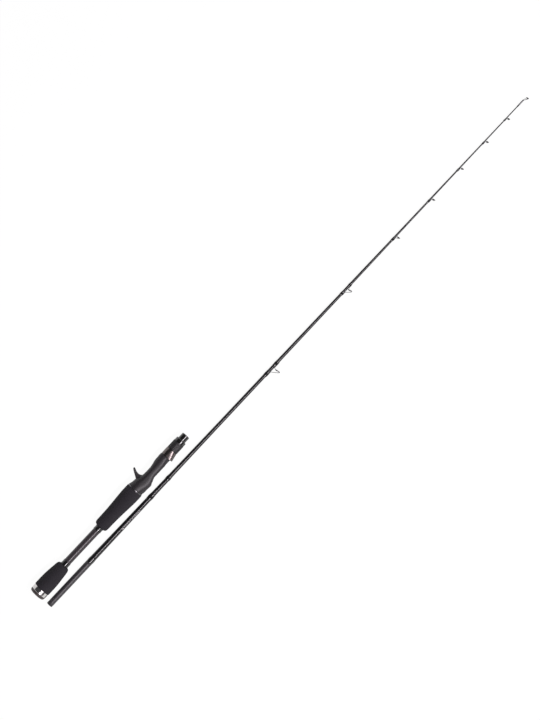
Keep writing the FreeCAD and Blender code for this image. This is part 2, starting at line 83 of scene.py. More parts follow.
# The blank: spans in mm from the end of its spigot, and radii in mm.
COLLAR = span_of("spigot_collar", BLANK_BUTT)
SPIGOT_START, SHANK_END = span_of("ferrule_spigot", BLANK_BUTT)
BLANK_END = span_of("blank_tube", BLANK_BUTT)[1]
TIP_WRAP = span_of("tip_wrap", BLANK_BUTT)
TRIM_WRAPS = [span_of(f"trim_wrap_{i}", BLANK_BUTT) for i in (1, 2)]
SPIGOT_RADIUS, SPIGOT_BORE, SHANK_RADIUS, SHANK_BORE = 6.45, 4.2, 4.65, 3.4
BLANK_BORE = 4.7
VENT_RADIUS = 2.05
TAPER = ((127.0, 6.3), (201.0, 5.7), (284.0, 5.25), (366.0, 4.45), (476.0, 3.9), (676.0, 3.45),
         (911.0, 2.65), (1029.0, 2.05), (1217.0, 1.4), (1356.0, 1.05))


# ---- outlines ---------------------------------------------------------------------------------
def smooth_through(stations, step):
    """Points on a smooth curve through (x, value) stations that never overshoots them."""
    xs, ys = zip(*stations)
    slopes = [(b - a) / (d - c) for a, b, c, d in zip(ys, ys[1:], xs, xs[1:])]
    ends = [slopes[0]]
    for a, b in zip(slopes, slopes[1:]):
        ends.append(0.0 if a * b <= 0 else 2 * a * b / (a + b))
    ends.append(slopes[-1])
    points = []
    for i, (x0, x1) in enumerate(zip(xs, xs[1:])):
        run = x1 - x0
        count = max(2, math.ceil(run / step))
        for k in range(count):
            t = k / count
            h00, h10 = 2 * t**3 - 3 * t**2 + 1, t**3 - 2 * t**2 + t
            h01, h11 = -2 * t**3 + 3 * t**2, t**3 - t**2
            value = h00 * ys[i] + h10 * run * ends[i] + h01 * ys[i + 1] + h11 * run * ends[i + 1]
            points.append((x0 + run * t, value))
    return points + [(xs[-1], ys[-1])]


def rounded(outline, radius, steps=4):
    """A closed outline with each corner rounded, by at most a third of its shorter side.

    A corner's own third value, where it has one, is used in place of radius."""
    soft = []
    count = len(outline)
    for i, corner in enumerate(outline):
        here = Vector((*corner[:2], 0))
        before = Vector((*outline[i - 1][:2], 0)) - here
        after = Vector((*outline[(i + 1) % count][:2], 0)) - here
        limit = corner[2] if len(corner) > 2 else radius
        cut = min(limit, before.length / 3, after.length / 3)
        if cut < 1e-6 or before.angle(after, math.pi) > math.radians(176):
            soft.append((here.x, here.y))
            continue
        a, b = here + before.normalized() * cut, here + after.normalized() * cut
        for k in range(steps + 1):
            t = k / steps
            p = a * (1 - t) ** 2 + here * 2 * t * (1 - t) + b * t * t
            soft.append((p.x, p.y))
    return soft


# ---- meshes -----------------------------------------------------------------------------------
def finish_mesh(name, build, smooth=True):
    """An object from a bmesh, with its normals pointing out."""
    bmesh.ops.recalc_face_normals(build, faces=build.faces)
    mesh = bpy.data.meshes.new(name)
    build.to_mesh(mesh)
    build.free()
    if smooth:
        mesh.shade_smooth()
    piece = bpy.data.objects.new(name, mesh)
    bpy.context.scene.collection.objects.link(piece)
    return piece


def add_turned(build, outline, place, sides=96, ripple=None):
    """Add a solid turned about X: outline is a closed loop of (x, radius) in mm.

    place takes a point in mm to the shared frame; ripple(x, angle, radius) may change a radius."""
    loops = []
    for x, r in outline:
        if r < 1e-6:
            loops.append([build.verts.new(place(x, 0.0, 0.0))])
            continue
        loop = []
        for k in range(sides):
            a = 2 * math.pi * k / sides
            out = ripple(x, a, r) if ripple else r
            loop.append(build.verts.new(place(x, out * math.cos(a), out * math.sin(a))))
        loops.append(loop)
    for one, two in zip(loops, loops[1:] + loops[:1]):
        if len(one) == 1 and len(two) == 1:
            continue
        for k in range(sides):
            n = (k + 1) % sides
            corners = [one[k % len(one)], one[n % len(one)], two[n % len(two)], two[k % len(two)]]
            unique = list(dict.fromkeys(corners))
            if len(unique) > 2:
                build.faces.new(unique)


def on_axis(butt, axis):
    """Placing on a rod's own axis: x in mm from its butt, y and z in mm from its axis."""
    return lambda x, y, z: (butt + x * MM, axis[0] + y * MM, axis[1] + z * MM)


ON_HANDLE = on_axis(HANDLE_BUTT, HANDLE_AXIS)
ON_BLANK = on_axis(BLANK_BUTT, BLANK_AXIS)


def turned(name, outline, place, sides=96, ripple=None):
    """A new piece turned about X from a closed outline, as add_turned makes it."""
    build = bmesh.new()
    add_turned(build, outline, place, sides, ripple)
    return finish_mesh(name, build)


def add_swept(build, path, widths, sides=12):
    """Add a rod of boxy oval section along a path in mm from the blank's butt and axis.

    widths are (across, thick) per point, with across lying level."""
    loops = []
    for i, here in enumerate(path):
        ahead = path[min(i + 1, len(path) - 1)] - path[max(i - 1, 0)]
        ahead.normalize()
        level = Vector((0, 0, 1))
        across = (level - ahead * level.dot(ahead)).normalized()
        up = ahead.cross(across)
        wide, thick = widths[i]
        loop = []
        for k in range(sides):
            a = 2 * math.pi * k / sides
            ca, sa = math.cos(a), math.sin(a)
            boxy = (ca**4 + sa**4) ** 0.25
            p = here + across * (wide / 2 * ca / boxy) + up * (thick / 2 * sa / boxy)
            loop.append(build.verts.new(ON_BLANK(p.x, p.y, p.z)))
        loops.append(loop)
    for one, two in zip(loops, loops[1:]):
        for k in range(sides):
            n = (k + 1) % sides
            build.faces.new((one[k], one[n], two[n], two[k]))
    build.faces.new(loops[0])
    build.faces.new(loops[-1])


def curve_through(points, count=10):
    """Points along a smooth curve through the given ones (Catmull-Rom)."""
    ends = [points[0] * 2 - points[1]] + list(points) + [points[-1] * 2 - points[-2]]
    out = []
    for a, b, c, d in zip(ends, ends[1:], ends[2:], ends[3:]):
        for k in range(count):
            t = k / count
            out.append(0.5 * (2 * b + (c - a) * t + (2 * a - 5 * b + 4 * c - d) * t * t
                              + (3 * b - a - 3 * c + d) * t**3))
    return out + [points[-1].copy()]


def remeshed(piece, voxel, rounds):
    """Weld a piece's overlapping shells into one skin with soft edges, and apply it.

    voxel is in mm, and rounds is how often the skin is relaxed."""
    weld = piece.modifiers.new("skin", "REMESH")
    weld.mode, weld.voxel_size, weld.use_smooth_shade = "VOXEL", voxel * MM, True
    relax = piece.modifiers.new("relax", "SMOOTH")
    relax.factor, relax.iterations = 0.5, rounds
    settled = bpy.data.meshes.new_from_object(
        piece.evaluated_get(bpy.context.evaluated_depsgraph_get()))
    piece.modifiers.clear()
    piece.data = settled
    settled.name = piece.name
    settled.shade_smooth()
    return piece


def copy_of(node, name):
    """A new piece with a CAD node's shape, its seams welded, ready to be refined."""
    build = bmesh.new()
    build.from_mesh(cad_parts[node].data)
    bmesh.ops.remove_doubles(build, verts=build.verts, dist=0.002 * MM)
    return finish_mesh(name, build)


# ---- materials --------------------------------------------------------------------------------
class Nodes:
    """A short way to write a material's nodes."""

    def __init__(self, name, **shader):
        self.material = bpy.data.materials.new(name)
        self.material.use_nodes = True
        self.tree = self.material.node_tree
        self.shader = self.tree.nodes["Principled BSDF"]
        for key, value in shader.items():
            self.shader.inputs[key.replace("_", " ")].default_value = value

    def add(self, kind, settings=None, **inputs):
        """A new node; its inputs go by name, or by number as i0, i1 and so on."""
        node = self.tree.nodes.new("ShaderNode" + kind)
        for key, value in (settings or {}).items():
            setattr(node, key, value)
        for key, value in inputs.items():
            self.feed(node, key.replace("_", " "), value)
        return node

    def feed(self, node, key, value):
        socket = node.inputs[int(key[1:])] if key[0] == "i" and key[1:].isdigit() \
            else node.inputs[key]
        if isinstance(value, bpy.types.NodeSocket):
            self.tree.links.new(value, socket)
        else:
            socket.default_value = value

    def math(self, operation, a, b=0.0, c=0.0):
        return self.add("Math", {"operation": operation}, i0=a, i1=b, i2=c).outputs[0]

    def where(self):
        """The point in the piece's own space, in metres."""
        return self.add("TexCoord").outputs["Object"]

    def around(self, axis, radius):
        """Distance along X, distance round the axis, and both as a vector, in mm."""
        parts = self.add("SeparateXYZ", i0=self.where()).outputs
        y = self.math("SUBTRACT", parts[1], axis[0])
        z = self.math("SUBTRACT", parts[2], axis[1])
        turn = self.math("MULTIPLY", self.math("ARCTAN2", z, y), radius)
        along = self.math("MULTIPLY", parts[0], 1 / MM)
        return along, turn, self.add("CombineXYZ", i0=along, i1=turn).outputs[0]

    def noise(self, vector, scale, detail=2.0, rough=0.5):
        return self.add("TexNoise", None, Vector=vector, Scale=scale, Detail=detail,
                        Roughness=rough).outputs[0]

    def ramp(self, value, *stops):
        """A colour or a grey that follows value through (position, colour) stops."""
        node = self.add("ValToRGB", Fac=value)
        marks = node.color_ramp.elements
        while len(marks) < len(stops):
            marks.new(0.5)
        for mark, (position, colour) in zip(marks, stops):
            mark.position = position
            mark.color = (*colour, 1) if isinstance(colour, tuple) else (colour,) * 3 + (1,)
        return node.outputs[0]

    def bump(self, height, strength, distance):
        """Bump the surface by a height from 0 to 1, with distance in mm."""
        node = self.add("Bump", None, Height=height, Strength=strength,
                        Distance=distance * MM)
        self.feed(self.shader, "Normal", node.outputs[0])

    def paint(self, colour, rough):
        """Link the colour and roughness, and give the finished material."""
        self.feed(self.shader, "Base Color", colour)
        self.feed(self.shader, "Roughness", rough)
        return self.material

    def stretched(self, vector, x, y, z=1.0):
        """The vector scaled by x, y and z, so that a noise on it runs out long one way."""
        return self.add("VectorMath", {"operation": "MULTIPLY"}, i0=vector,
                        i1=(x, y, z)).outputs[0]


def foam():
    """Turned closed-cell foam: near-black, dull, with open pores."""
    n = Nodes("eva_foam", Specular_IOR_Level=0.25)
    here = n.where()
    cells = n.add("TexVoronoi", {"feature": "F1"}, Vector=here, Scale=1500.0).outputs[0]
    grain = n.noise(here, 900.0, 4.0, 0.7)
    cloud = n.noise(here, 45.0, 3.0)
    colour = n.ramp(n.math("MULTIPLY_ADD", grain, 0.7, n.math("MULTIPLY", cloud, 0.3)),
                    (0.25, (0.0095, 0.0085, 0.011)), (0.55, (0.0165, 0.0148, 0.0185)),
                    (0.8, (0.031, 0.028, 0.034)))
    n.bump(n.math("ADD", cells, grain), 0.55, 0.25)
    return n.paint(colour, n.ramp(grain, (0.3, 0.78), (0.7, 0.93)))


def polished_metal():
    """Bright turned metal with fine rings round it and a few soft scuffs."""
    n = Nodes("polished_metal", Metallic=1.0)
    _, _, flat = n.around(HANDLE_AXIS, 17.0)
    rings = n.noise(n.stretched(flat, 9.0, 0.05), 1.0, 3.0, 0.6)
    scuff = n.noise(n.where(), 260.0, 3.0)
    n.bump(rings, 0.12, 0.03)
    return n.paint(n.ramp(scuff, (0.3, (0.56, 0.54, 0.535)), (0.7, (0.66, 0.64, 0.63))),
                   n.ramp(scuff, (0.35, 0.13), (0.75, 0.22)))


def rubber(name, tone, rough):
    """Moulded rubber with a fine grain and a slightly uneven tone."""
    n = Nodes(name, Specular_IOR_Level=0.4)
    here = n.where()
    grain = n.noise(here, 1400.0, 3.0, 0.6)
    cloud = n.noise(here, 120.0, 2.0)
    n.bump(grain, 0.3, 0.08)
    return n.paint(n.ramp(cloud, (0.3, tuple(t * 0.75 for t in tone)),
                          (0.7, tuple(t * 1.25 for t in tone))),
                   n.ramp(grain, (0.3, rough - 0.07), (0.7, rough + 0.07)))


def carbon_weave(name, axis, radius, dark, light, rough):
    """Woven carbon: two by two twill, its tows lying along and round the rod, with painted sheen:
    each tow lighter at its crown, and the tows of one lay lighter than the other.
    """
    n = Nodes(name)
    tow = 1.6                            # width of a tow in mm
    along, turn, flat = n.around(axis, radius)
    col = n.math("DIVIDE", along, tow)
    row = n.math("DIVIDE", turn, tow)
    step = n.math("ADD", n.math("FLOOR", col), n.math("FLOOR", row))
    twill = n.math("FRACT", n.math("DIVIDE", step, 4.0))
    over = n.math("GREATER_THAN", twill, 0.49)
    # each tow's rounded crown: the bump's height, and also a painted highlight in the colour below
    crown_and_highlight_a = n.math("SINE", n.math("MULTIPLY", n.math("FRACT", col), math.pi))
    crown_and_highlight_b = n.math("SINE", n.math("MULTIPLY", n.math("FRACT", row), math.pi))
    crown_and_highlight = n.add("Mix", {"data_type": "FLOAT"}, Factor=over, i2=crown_and_highlight_a, i3=crown_and_highlight_b).outputs[0]
    fibre_a = n.noise(n.stretched(flat, 0.3, 22.0), 1.0, 2.0)
    fibre_b = n.noise(n.stretched(flat, 22.0, 0.3), 1.0, 2.0)
    fibre = n.add("Mix", {"data_type": "FLOAT"}, Factor=over, i2=fibre_a, i3=fibre_b).outputs[0]
    # painted sheen: the tows that lie over are lighter and every tow is lighter at its crown; the
    # fibre streaks are the weave's own grain
    tone = n.math("ADD", n.math("MULTIPLY", over, 0.22),
                  n.math("MULTIPLY_ADD", crown_and_highlight, 0.38, n.math("MULTIPLY", fibre, 0.4)))
    n.bump(n.math("ADD", crown_and_highlight, n.math("MULTIPLY", fibre, 0.3)), 0.25, 0.05)
    return n.paint(n.ramp(tone, (0.2, dark), (0.85, light)),
                   n.ramp(tone, (0.2, rough + 0.06), (0.85, rough - 0.05)))


def wound_carbon(name, axis, radius, dark, light, rough, pitch, ridge, coat=0.0):
    """Rolled carbon: long fibres, and the faint spiral that the shrink tape leaves.

    pitch is the tape's, in mm, and ridge is how strongly it shows."""
    n = Nodes(name, Coat_Weight=coat, Coat_Roughness=0.03)
    along, turn, flat = n.around(axis, radius)
    fibre = n.noise(n.stretched(flat, 0.08, 14.0), 1.0, 3.0, 0.6)
    cloud = n.noise(n.where(), 60.0, 3.0)
    spiral = n.math("ADD", n.math("DIVIDE", along, pitch),
                    n.math("DIVIDE", turn, 2 * math.pi * radius))
    tape = n.math("ABSOLUTE", n.math("SUBTRACT", n.math("FRACT", spiral), 0.5))
    n.bump(n.math("MULTIPLY_ADD", fibre, 0.25, tape), ridge, 0.06)
    tone = n.math("MULTIPLY_ADD", fibre, 0.65, n.math("MULTIPLY", cloud, 0.35))
    return n.paint(n.ramp(tone, (0.3, dark), (0.72, light)),
                   n.ramp(cloud, (0.3, rough - 0.02), (0.7, rough + 0.02)))


def gloss_black():
    """Black under a thick clear coat."""
    n = Nodes("gloss_black", Specular_IOR_Level=0.2, Coat_Weight=1.0, Coat_Roughness=0.03,
              Coat_IOR=1.58)
    here = n.where()
    cloud = n.noise(here, 180.0, 3.0)
    n.bump(n.noise(here, 320.0, 2.0), 0.06, 0.05)
    return n.paint(n.ramp(cloud, (0.3, 0.0028), (0.7, 0.0064)),
                   n.ramp(cloud, (0.3, 0.16), (0.7, 0.24)))


def thread_under_epoxy():
    """Black winding thread, laid close, where the epoxy has soaked in and dulled."""
    n = Nodes("thread_epoxy", Specular_IOR_Level=0.15)
    along, turn, flat = n.around(BLANK_AXIS, 6.0)
    lay = n.math("ADD", n.math("MULTIPLY", along, 5.2), n.math("MULTIPLY", turn, 0.027))
    strand = n.math("ABSOLUTE", n.math("SUBTRACT", n.math("FRACT", lay), 0.5))
    lint = n.noise(n.stretched(flat, 5.0, 0.6), 1.0, 3.0)
    n.bump(strand, 0.3, 0.05)
    tone = n.math("MULTIPLY_ADD", strand, -0.7, n.math("MULTIPLY_ADD", lint, 0.5, 0.5))
    return n.paint(n.ramp(tone, (0.3, (0.0022, 0.0022, 0.0026)), (0.8, (0.008, 0.0078, 0.009))),
                   n.ramp(lint, (0.3, 0.5), (0.7, 0.65)))


def seat_plastic(name, tone, rough):
    """Moulded glass-filled plastic with a fine spark-eroded grain and a soft, dull shine."""
    n = Nodes(name, Specular_IOR_Level=0.38)
    here = n.where()
    grain = n.noise(here, 1500.0, 3.0, 0.65)
    flow = n.noise(n.stretched(here, 30.0, 90.0, 90.0), 1.0, 3.0)
    n.bump(grain, 0.3, 0.09)
    return n.paint(n.ramp(flow, (0.3, tuple(t * 0.8 for t in tone)),
                          (0.7, tuple(t * 1.2 for t in tone))),
                   n.ramp(grain, (0.3, rough - 0.06), (0.7, rough + 0.08)))


def smoked_metal():
    """Dark plated metal of the sliding hood, brushed round the rod, with a warm tint."""
    n = Nodes("smoked_metal", Metallic=1.0)
    _, _, flat = n.around(HANDLE_AXIS, 12.0)
    brush = n.noise(n.stretched(flat, 16.0, 0.12), 1.0, 4.0, 0.6)
    wear = n.noise(n.where(), 300.0, 3.0)
    n.bump(brush, 0.2, 0.03)
    return n.paint(n.ramp(wear, (0.3, (0.125, 0.108, 0.104)), (0.72, (0.175, 0.155, 0.15))),
                   n.ramp(brush, (0.3, 0.24), (0.7, 0.34)))


def guide_metal():
    """Pressed steel of the guide frames, tumbled to a satin finish."""
    n = Nodes("guide_metal", Metallic=1.0)
    here = n.where()
    grain = n.noise(here, 1800.0, 3.0)
    cloud = n.noise(here, 400.0, 2.0)
    n.bump(grain, 0.15, 0.02)
    return n.paint(n.ramp(cloud, (0.3, (0.10, 0.098, 0.104)), (0.7, (0.17, 0.165, 0.172))),
                   n.ramp(grain, (0.3, 0.24), (0.7, 0.38)))


def ceramic():
    """Polished dark ring of the guides."""
    n = Nodes("dark_ceramic", Specular_IOR_Level=0.7, Coat_Weight=0.6, Coat_Roughness=0.03)
    cloud = n.noise(n.where(), 700.0, 3.0)
    n.bump(cloud, 0.03, 0.02)
    return n.paint(n.ramp(cloud, (0.3, (0.020, 0.021, 0.024)), (0.7, (0.040, 0.041, 0.046))),
                   n.ramp(cloud, (0.3, 0.10), (0.7, 0.16)))


def pale_ink():
    """Printed pale-grey ink under the lacquer."""
    n = Nodes("pale_ink", Coat_Weight=1.0, Coat_Roughness=0.03)
    worn = n.noise(n.where(), 900.0, 3.0)
    return n.paint(n.ramp(worn, (0.3, (0.30, 0.285, 0.295)), (0.7, (0.44, 0.425, 0.435))),
                   n.ramp(worn, (0.3, 0.35), (0.7, 0.5)))


FOAM = foam()
BRIGHT = polished_metal()
BUTT_RUBBER = rubber("butt_rubber", (0.044, 0.033, 0.033), 0.45)
CAP_RUBBER = rubber("black_rubber", (0.0085, 0.0078, 0.009), 0.62)
TUBE_CARBON = carbon_weave("satin_weave", HANDLE_AXIS, TUBE_RADIUS, (0.012, 0.0095, 0.0115),
                           (0.046, 0.038, 0.043), 0.33)
SPIGOT_CARBON = wound_carbon("bare_carbon", BLANK_AXIS, SPIGOT_RADIUS, (0.017, 0.0155, 0.018),
                             (0.042, 0.039, 0.044), 0.42, pitch=3.2, ridge=0.32)
BLANK_CARBON = wound_carbon("lacquered_carbon", BLANK_AXIS, 5.0, (0.0032, 0.0030, 0.0036),
                            (0.0080, 0.0074, 0.0088), 0.27, pitch=4.0, ridge=0.008, coat=0.08)
GLOSS = gloss_black()
THREAD = thread_under_epoxy()
SEAT_PLASTIC = seat_plastic("seat_plastic", (0.0165, 0.0148, 0.0168), 0.44)
NUT_PLASTIC = seat_plastic("nut_plastic", (0.0105, 0.0098, 0.0112), 0.42)
INNER_PLASTIC = seat_plastic("inner_plastic", (0.02, 0.02, 0.02), 0.55)
SMOKED = smoked_metal()
GUIDE_METAL = guide_metal()
CERAMIC = ceramic()
INK = pale_ink()


def recoat(node, material):
    """Give a CAD node that is shown as it is a material in place of its own."""
    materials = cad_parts[node].data.materials
    materials.clear()
    materials.append(material)


def dress(piece, material, body, slot, *nodes):
    """Give a piece its material and its body, and hide the CAD nodes it stands for; slot is not
    used.
    """
    piece.data.materials.clear()
    piece.data.materials.append(material)
    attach(piece, body)
    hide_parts(*nodes)
    return piece


# ---- handle -----------------------------------------------------------------------------------
def foam_skin(x, angle, radius):
    """Turned foam is never quite round: long low waves and a pebbled surface."""
    if radius < TUBE_RADIUS + 0.5:
        return radius
    here = Vector((x, math.cos(angle) * radius, math.sin(angle) * radius))
    waves, pebbles = noise.noise(here * 0.09), noise.noise(here * 0.85)
    return radius + 0.05 * waves + 0.045 * pebbles - 0.05


def grip(name, rear, curve, front):
    """A foam grip on the handle tube: its rear and front rims, and the curve between them."""
    outline = [(rear[0], TUBE_RADIUS), rear]
    outline += smooth_through(curve, 0.7)
    outline += [front, (front[0], TUBE_RADIUS)]
    piece = turned(name + "_foam", outline, ON_HANDLE, 176, foam_skin)
    dress(piece, FOAM, "handle", "eva_foam", name)


def make_grips():
    grip("butt_grip", (BUTT_TRIM[1], 17.15),
         ((16.2, 17.6), (27.5, 17.65), (38.5, 17.45), (50.5, 16.6), (62.5, 15.3),
          (71.5, 14.3), (76.0, 13.1), (77.9, 11.6), (78.6, 10.4)), (REAR_CHECK[0], 9.2))
    grip("fore_grip", (FORE_CHECK[1], 9.2),
         ((181.9, 10.4), (182.9, 12.2), (184.9, 13.7), (188.5, 14.4), (199.5, 14.6),
          (211.5, 14.8), (230.5, 15.7), (250.5, 17.0), (266.5, 17.8), (274.5, 17.82),
          (280.4, 17.6)), (SEAT_TRIM[0], 17.1))


def make_butt_cap():
    """Cap with a dished face and a domed edge, and its stem inside the tube."""
    cap_end, stem_end, stem_radius = BUTT_TRIM[0], 25.0, 6.1
    face = [(0.9, 0.0), (0.9, 5.0), (0.55, 6.2), (0.1, 7.0), (0.0, 8.2)]
    dome = [(5.0 * (1 - math.cos(a)), 12.2 + 4.5 * math.sin(a))
            for a in (math.radians(d) for d in range(0, 90, 9))]
    edge = [(5.2, 16.7), (cap_end - 0.2, 16.65), (cap_end, 16.4)]
    stem = [(cap_end, stem_radius), (stem_end - 1, stem_radius), (stem_end, 5.4), (stem_end, 0.0)]
    dress(turned("butt_cap_rubber", face + dome + edge + stem, ON_HANDLE, 128), BUTT_RUBBER,
          "handle", "black_rubber", "butt_cap")


def make_trim_rings():
    a, b = BUTT_TRIM
    band = rounded(((a, TUBE_RADIUS), (a, 16.5), (a + 0.7, 17.0), (a + 3.5, TRIM_RADIUS),
                    (b - 3.5, TRIM_RADIUS), (b - 0.7, 17.0), (b, 16.6), (b, TUBE_RADIUS)), 0.35)
    dress(turned("butt_trim_band", band, ON_HANDLE, 160), BRIGHT, "handle", "polished_metal",
          "butt_trim_ring")
    a, b = SEAT_TRIM
    thin = rounded(((a, TUBE_RADIUS), (a, TRIM_RADIUS), (b, TRIM_RADIUS), (b, TUBE_RADIUS)), 0.6)
    dress(turned("seat_trim_band", thin, ON_HANDLE, 160), GUIDE_METAL, "handle",
          "polished_metal", "seat_trim_ring")


def make_checks():
    """Rings between the tube and the grips, each with a raised bead at both ends."""
    high, low = CHECK_RADIUS, 8.4
    for node, (a, b) in (("rear_winding_check", REAR_CHECK), ("fore_winding_check", FORE_CHECK)):
        ring = rounded(((a, TUBE_RADIUS), (a, low), (a + 0.5, high), (a + 1.5, high),
                        (a + 2.0, low), (b - 2.0, low), (b - 1.5, high), (b - 0.5, high),
                        (b, low), (b, TUBE_RADIUS)), 0.3)
        dress(turned(node + "_ring", ring, ON_HANDLE, 96), GLOSS, "handle", "gloss_black", node)


def make_tube():
    """The tube through the handle, with the blank's socket in its front end, and its sleeve."""
    start, bottom = BUTT_TRIM[0], HANDLE_END - SOCKET_DEPTH
    outline = [(start, CORE_RADIUS), (start, TUBE_RADIUS)]
    # loops along a straight side keep the smooth shading of its ends off its length
    outline += [(x, TUBE_RADIUS) for x in range(20, 420, 12)]
    outline += [(HANDLE_END - 0.3, TUBE_RADIUS), (HANDLE_END - 0.05, TUBE_RADIUS - 0.25),
                (HANDLE_END, SOCKET_RADIUS + 0.15), (HANDLE_END - 0.15, SOCKET_RADIUS),
                (bottom, SOCKET_RADIUS), (bottom, CORE_RADIUS)]
    dress(turned("handle_tube_carbon", outline, ON_HANDLE, 128), TUBE_CARBON, "handle",
          "satin_carbon", "handle_tube")
    a, b = SLEEVE
    sleeve = rounded(((a, TUBE_RADIUS), (a, SLEEVE_RADIUS), (b, SLEEVE_RADIUS, 0.7),
                      (b, TUBE_RADIUS)), 0.2)
    dress(turned("ferrule_sleeve_gloss", sleeve, ON_HANDLE, 96), GLOSS, "handle", "gloss_black",
          "ferrule_sleeve")


def make_seat():
    """Seat and hood keep their lofted CAD shapes, with edges softened as on a moulding."""
    seat = remeshed(copy_of("reel_seat_body", "reel_seat_moulding"), 0.42, 5)
    dress(seat, SEAT_PLASTIC, "handle", "seat_plastic", "reel_seat_body")
    hood = remeshed(copy_of("hood_shell", "hood_shell_metal"), 0.2, 4)
    dress(hood, SMOKED, "hood", "dark_chrome", "hood_shell")
    for node in ("rear_arbor", "front_arbor", "hood_liner"):
        recoat(node, INNER_PLASTIC)


def fluted(x, angle, radius):
    """Rounded grooves along the nut, running out before its ends."""
    if radius < NUT_RADIUS - 0.75:
        return radius
    wave = 0.5 + 0.5 * math.cos(NUT_RIBS * angle)
    start, end = NUT
    fade = min(1.0, max(0.0, (x - start - 1.5) / 1.2), max(0.0, (end - 1.5 - x) / 1.2))
    return radius - RIB_DEPTH * fade * wave**3


def make_nut():
    a, b = NUT
    step = 0.6
    side = [(a + step * (k + 1), NUT_RADIUS) for k in range(int((b - a) / step - 2))]
    outline = [(a, NUT_BORE), (a, 11.1), (a + 0.25, 11.55)] + side
    outline += [(b - 0.4, NUT_RADIUS), (b - 0.1, 11.6), (b, 11.4), (b, NUT_BORE)]
    dress(turned("lock_nut_ribbed", outline, ON_HANDLE, NUT_RIBS * 14, fluted), NUT_PLASTIC,
          "nut", "seat_plastic", "lock_nut")
    a, b = NUT_BAND
    band = rounded(((a, BAND_BORE), (a, 11.5, 0.3), (a + 6.0, 11.5, 0.8), (b - 0.8, 11.1, 0.6),
                    (b, 10.2, 0.5), (b, BAND_BORE)), 0.3, 6)
    dress(turned("nut_band_gloss", band, ON_HANDLE, 128), GLOSS, "nut", "gloss_black", "nut_band")


# ---- blank ------------------------------------------------------------------------------------
def blank_radius(x):
    """The CAD blank's radius in mm, a straight taper between stations."""
    for (x0, r0), (x1, r1) in zip(TAPER, TAPER[1:]):
        if x <= x1:
            return r0 + (r1 - r0) * (x - x0) / (x1 - x0)
    return TAPER[-1][1]


def make_blank():
    """The tapered tube, stepped down at its butt to go under the collar."""
    start, collar_end = COLLAR
    step, under_collar = 8, 5.9
    outline = [(start, BLANK_BORE), (start, under_collar), (collar_end, under_collar),
               (collar_end, 6.15), (collar_end + 0.4, blank_radius(collar_end))]
    count = math.ceil((BLANK_END - collar_end) / step)
    outline += [(x, blank_radius(x)) for x in (collar_end + step * k for k in range(1, count))]
    outline += [(BLANK_END, 1.05), (BLANK_END, 0.55)]
    # the bore follows the taper, with a wall that thins from 1.0 to 0.5 mm
    outline += [(x, min(BLANK_BORE, r - 1.0 + 0.5 * x / BLANK_END))
                for x, r in reversed(TAPER[2:-1])]
    dress(turned("blank_lacquered", outline, ON_BLANK, 72), BLANK_CARBON, "blank", "gloss_carbon",
          "blank_tube")


def make_spigot():
    """The bare butt of the blank: hollow spigot and its shank, end cap, collar and vent plug."""
    a, b = COLLAR
    start, shoulder = SPIGOT_START, a
    spigot = [(start, SPIGOT_BORE), (start, SPIGOT_RADIUS - 0.15), (start + 0.3, SPIGOT_RADIUS)]
    spigot += [(x, SPIGOT_RADIUS) for x in range(10, 114, 8)]
    spigot += [(shoulder, SPIGOT_RADIUS), (shoulder, SHANK_RADIUS), (SHANK_END, SHANK_RADIUS),
               (SHANK_END, SHANK_BORE), (shoulder - 4, SHANK_BORE), (shoulder - 8, SPIGOT_BORE)]
    dress(turned("spigot_carbon", spigot, ON_BLANK, 112), SPIGOT_CARBON, "blank", "satin_carbon",
          "ferrule_spigot")
    stem_end, stem_radius = 9.0, 4.15
    cap = rounded(((0, VENT_RADIUS), (0, 5.7, 0.9), (0.6, 6.3, 0.4), (start, 6.38),
                   (start, stem_radius), (stem_end, stem_radius), (stem_end, VENT_RADIUS)), 0.2)
    dress(turned("spigot_cap_rubber", cap, ON_BLANK, 80), CAP_RUBBER, "blank", "black_rubber",
          "spigot_end_cap")
    collar = [(a, 5.9), (a, 6.3)]
    collar += smooth_through(((a + 0.2, 6.48), (117.0, 6.76), (119.0, 6.94), (121.5, 6.94),
                              (124.5, 6.68), (b - 0.2, 6.44)), 0.5)
    collar += [(b, 6.3), (b, 5.9)]
    dress(turned("spigot_collar_gloss", collar, ON_BLANK, 112), GLOSS, "blank", "gloss_black",
          "spigot_collar")
    recoat("vent_plug", CAP_RUBBER)


def epoxy_wrap(low, high, thick, end_slope):
    """Outline of a wrap: thread of even thickness, with epoxy running down to the blank."""
    curve = smooth_through(((low, blank_radius(low) + 0.06),
                            (low + end_slope, blank_radius(low) + thick),
                            (high - end_slope, blank_radius(high) + thick),
                            (high, blank_radius(high) + 0.06)), 0.35)
    return [(low, blank_radius(low) - 0.1)] + curve + [(high, blank_radius(high) - 0.1)]


def gloss_ends(piece, *spans):
    """Finish both ends of each wrap in clear gloss and leave the thread to show between."""
    gloss_share = 0.33
    piece.data.materials.append(GLOSS)
    for face in piece.data.polygons:
        x = (face.center.x - BLANK_BUTT) / MM
        for low, high in spans:
            if low <= x <= high and min(x - low, high - x) < (high - low) * gloss_share:
                face.material_index = 1


def make_trim_wraps():
    for i, (low, high) in enumerate(TRIM_WRAPS, 1):
        piece = turned(f"trim_wrap_epoxy_{i}", epoxy_wrap(low, high, 0.5, 1.6), ON_BLANK, 72)
        dress(piece, THREAD, "blank", "wrap_epoxy", f"trim_wrap_{i}")
        gloss_ends(piece, (low, high))
    low, high = TIP_WRAP
    outline = [(low, 0.95), (low, 1.15), (low + 1.0, 1.34), (high - 0.3, 1.38), (high, 1.32),
               (high, 0.95)]
    dress(turned("tip_wrap_epoxy", outline, ON_BLANK, 40), THREAD, "blank", "wrap_epoxy",
          "tip_wrap")


